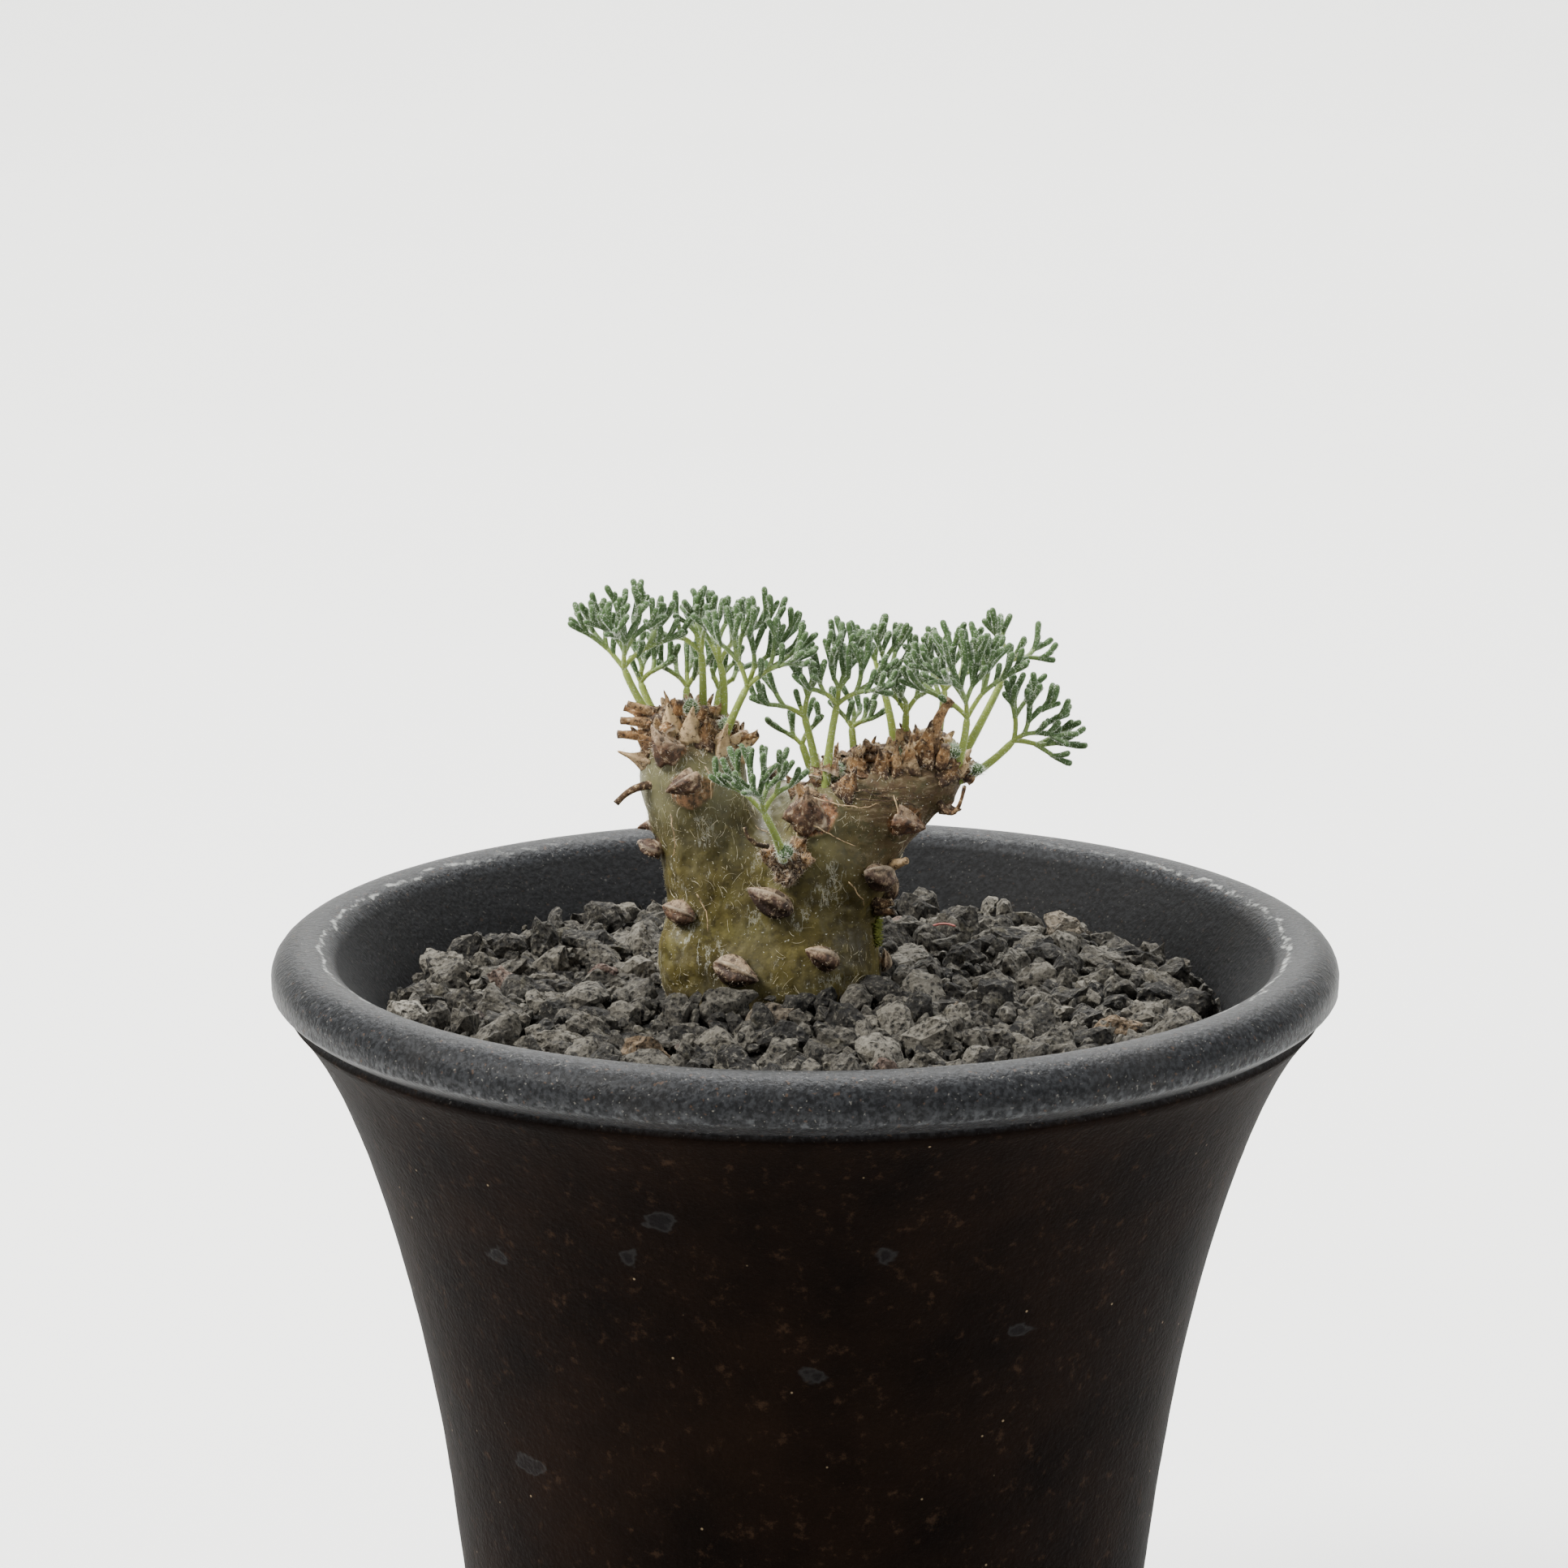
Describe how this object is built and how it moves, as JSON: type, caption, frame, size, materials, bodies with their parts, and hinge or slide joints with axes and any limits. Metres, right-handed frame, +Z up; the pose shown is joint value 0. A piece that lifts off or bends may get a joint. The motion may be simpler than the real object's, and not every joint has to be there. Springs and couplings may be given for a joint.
{
  "type": "potted caudex succulent",
  "caption": "Small swollen-stemmed succulent with finely divided woolly leaves, in a flared round dark pot filled with lava gravel.",
  "frame": {"origin": "under the pot's axis, on the surface that the foot ring stands on", "axes": "+Z up along the pot's axis, +X to the plant's right as the picture sees it, -Y towards the picture's camera"},
  "size_m": [0.105, 0.105, 0.13],
  "materials": {
    "pot_body": "dark brown satin body with a charcoal sandy lip",
    "net": "moulded net",
    "lava": "rough crushed lava",
    "stem_skin": "olive skin under a thin peeling wax",
    "dry_scales": "dry papery brown",
    "leaf_green": "grey green with fine white wool"
  },
  "bodies": {
    "root": {"pot": "pot_body", "drain_net": "net", "gravel": "lava", "caudex": "stem_skin", "crown_left": "dry_scales", "crown_middle": "dry_scales", "crown_right": "dry_scales", "bud_front": "dry_scales", "leaf_left_1": "leaf_green", "leaf_left_2": "leaf_green", "leaf_left_3": "leaf_green", "leaf_left_4": "leaf_green", "leaf_left_5": "leaf_green", "leaf_left_6": "leaf_green", "leaf_left_7": "leaf_green", "leaf_middle_1": "leaf_green", "leaf_middle_2": "leaf_green", "leaf_middle_3": "leaf_green", "leaf_middle_4": "leaf_green", "leaf_right_1": "leaf_green", "leaf_right_2": "leaf_green", "leaf_right_3": "leaf_green", "leaf_right_4": "leaf_green", "leaf_right_5": "leaf_green", "leaf_right_6": "leaf_green", "leaf_front": "leaf_green"}
  },
  "joints": []
}
